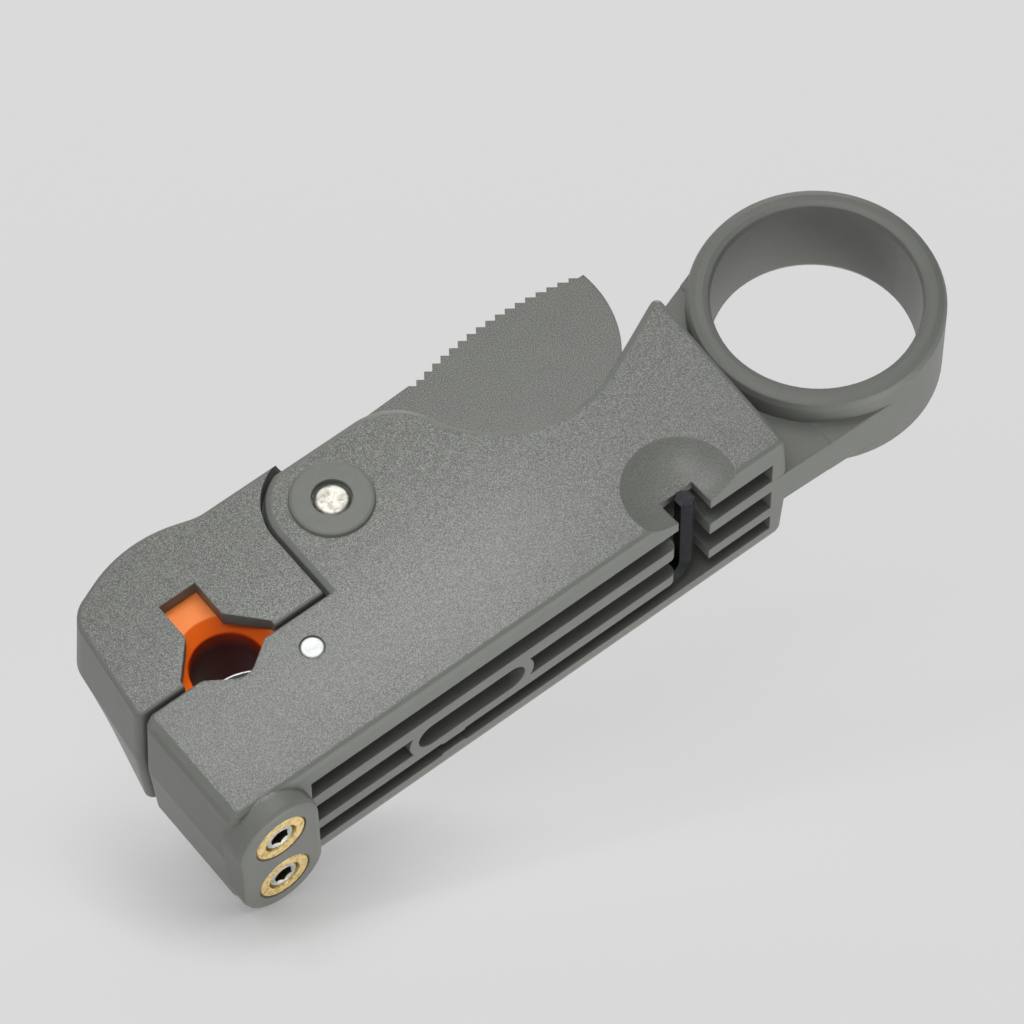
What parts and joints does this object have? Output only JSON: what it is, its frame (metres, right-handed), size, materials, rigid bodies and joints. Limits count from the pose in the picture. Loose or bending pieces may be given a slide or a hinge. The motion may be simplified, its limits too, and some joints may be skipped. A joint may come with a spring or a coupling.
{
  "type": "cable jacket stripper",
  "caption": "Rotary coaxial cable stripper with a spring-closed jaw, thumb lever, adjustable pivoting blades, exchangeable cable block, stowed hex key and finger ring.",
  "frame": {"origin": "on the back face's plane, under the middle of the whole tool's bounding box", "axes": "+X from the jaw's nose to the finger ring, +Y from the ribbed side to the thumb lever, +Z out of the front face, the one with the thumb scoop"},
  "size_m": [0.1062, 0.0368, 0.0196],
  "materials": {
    "body_plastic": "fine spark-eroded mould texture",
    "orange_plastic": "satin moulded",
    "steel": "bright turned and ground",
    "brass": "turned, lightly scratched",
    "black_steel": "black oxide"
  },
  "bodies": {
    "body": {"main_body": "body_plastic", "pivot_pin": "steel", "blade_dowel": "steel", "lower_screw_insert": "brass", "upper_screw_insert": "brass", "lever_spring": "steel"},
    "jaw": {"clamp_jaw": "body_plastic", "cable_block": "orange_plastic"},
    "lower_blade": {"lower_blade": "steel"},
    "upper_blade": {"upper_blade": "steel"},
    "lower_screw": {"lower_set_screw": "steel"},
    "upper_screw": {"upper_set_screw": "steel"},
    "key": {"hex_key": "black_steel"}
  },
  "joints": [
    {"name": "jaw_hinge", "type": "hinge", "parent": "body", "child": "jaw", "pos_m": [-0.0204, 0.00868, 0.0095], "axis": [0, 0, -1], "range_deg": [0, 17], "stiffness_Nm_per_rad": 0.25, "springref_deg": -20.05, "deforming": ["lever_spring"]},
    {"name": "lower_screw_slide", "type": "slide", "parent": "body", "child": "lower_screw", "axis": [0, 1, 0], "range_m": [-0.0007, 0.0007]},
    {"name": "lower_blade_hinge", "type": "hinge", "parent": "body", "child": "lower_blade", "pos_m": [-0.03305, -0.00447, 0.00525], "axis": [0, 0, -1], "range_deg": [-3.2, 3.2]},
    {"name": "upper_screw_slide", "type": "slide", "parent": "body", "child": "upper_screw", "axis": [0, 1, 0], "range_m": [-0.0007, 0.0007]},
    {"name": "upper_blade_hinge", "type": "hinge", "parent": "body", "child": "upper_blade", "pos_m": [-0.03305, -0.00447, 0.01375], "axis": [0, 0, -1], "range_deg": [-3.2, 3.2]},
    {"name": "hex_key_slide", "type": "slide", "parent": "body", "child": "key", "axis": [0, -1, 0], "range_m": [0, 0.03]}
  ],
  "couplings": [
    {"joint": "lower_blade_hinge", "follows": "lower_screw_slide", "rad_per_m": 67.114},
    {"joint": "upper_blade_hinge", "follows": "upper_screw_slide", "rad_per_m": 67.114}
  ]
}
